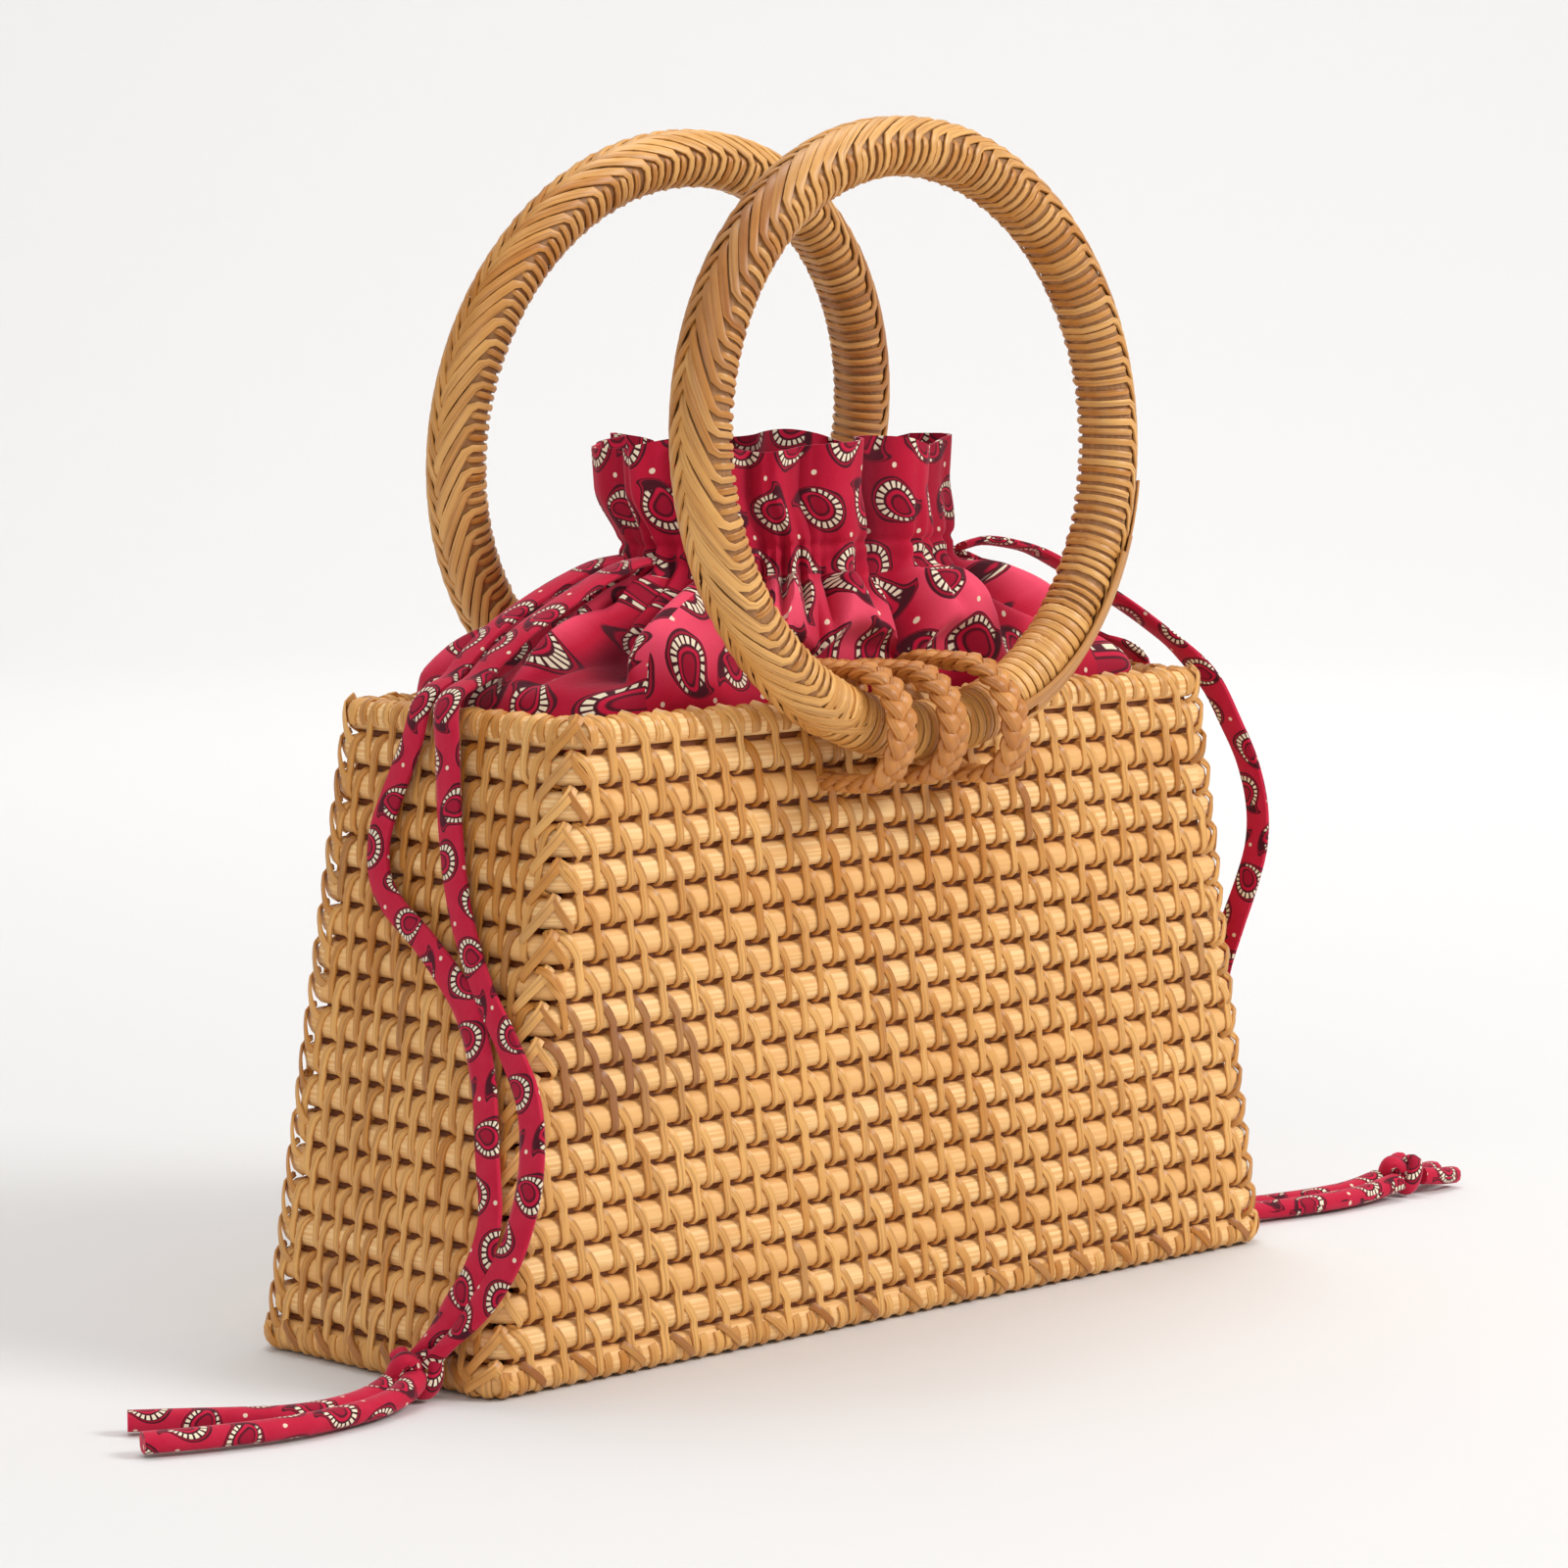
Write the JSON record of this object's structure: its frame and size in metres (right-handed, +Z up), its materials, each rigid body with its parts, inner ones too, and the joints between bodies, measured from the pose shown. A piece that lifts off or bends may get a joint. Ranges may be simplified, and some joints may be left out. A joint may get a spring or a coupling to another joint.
{
  "type": "rattan basket bag",
  "caption": "Rigid rattan basket with sloping ends, swinging ring handles lashed to its rim, and a gathered cotton drawstring pouch inside.",
  "frame": {"origin": "middle of the underside that the basket stands on", "axes": "+X along the basket to its right end as seen from the front, -Y to the front, +Z up"},
  "size_m": [0.4756, 0.1446, 0.3036],
  "materials": {
    "cane": "satin",
    "corner_binding": "satin",
    "braided_cane": "satin",
    "printed_cotton": "matt printed cotton",
    "cotton_tape": "matt printed cotton"
  },
  "bodies": {
    "basket": {"front_panel": "cane", "back_panel": "cane", "left_panel": "cane", "right_panel": "cane", "base_panel": "cane", "corner_front_left": "corner_binding", "corner_front_right": "corner_binding", "corner_back_left": "corner_binding", "corner_back_right": "corner_binding", "front_loop_left": "braided_cane", "front_loop_middle": "braided_cane", "front_loop_right": "braided_cane", "back_loop_left": "braided_cane", "back_loop_middle": "braided_cane", "back_loop_right": "braided_cane", "pouch_body": "printed_cotton", "pouch_dome": "printed_cotton", "pouch_frill": "printed_cotton", "left_cord_a": "cotton_tape", "left_cord_b": "cotton_tape", "left_knot": "cotton_tape", "left_tail_a": "cotton_tape", "left_tail_b": "cotton_tape", "right_cord_a": "cotton_tape", "right_cord_b": "cotton_tape", "right_knot": "cotton_tape", "right_tail_a": "cotton_tape", "right_tail_b": "cotton_tape"},
    "front_handle": {"handle_front": "cane"},
    "back_handle": {"handle_back": "cane"}
  },
  "joints": [
    {"name": "front_handle_swing", "type": "hinge", "parent": "basket", "child": "front_handle", "pos_m": [-0.008, -0.0555, 0.1533], "axis": [1, 0, 0], "range_deg": [0, 180]},
    {"name": "back_handle_swing", "type": "hinge", "parent": "basket", "child": "back_handle", "pos_m": [0, 0.0555, 0.1533], "axis": [-1, 0, 0], "range_deg": [0, 180]}
  ]
}
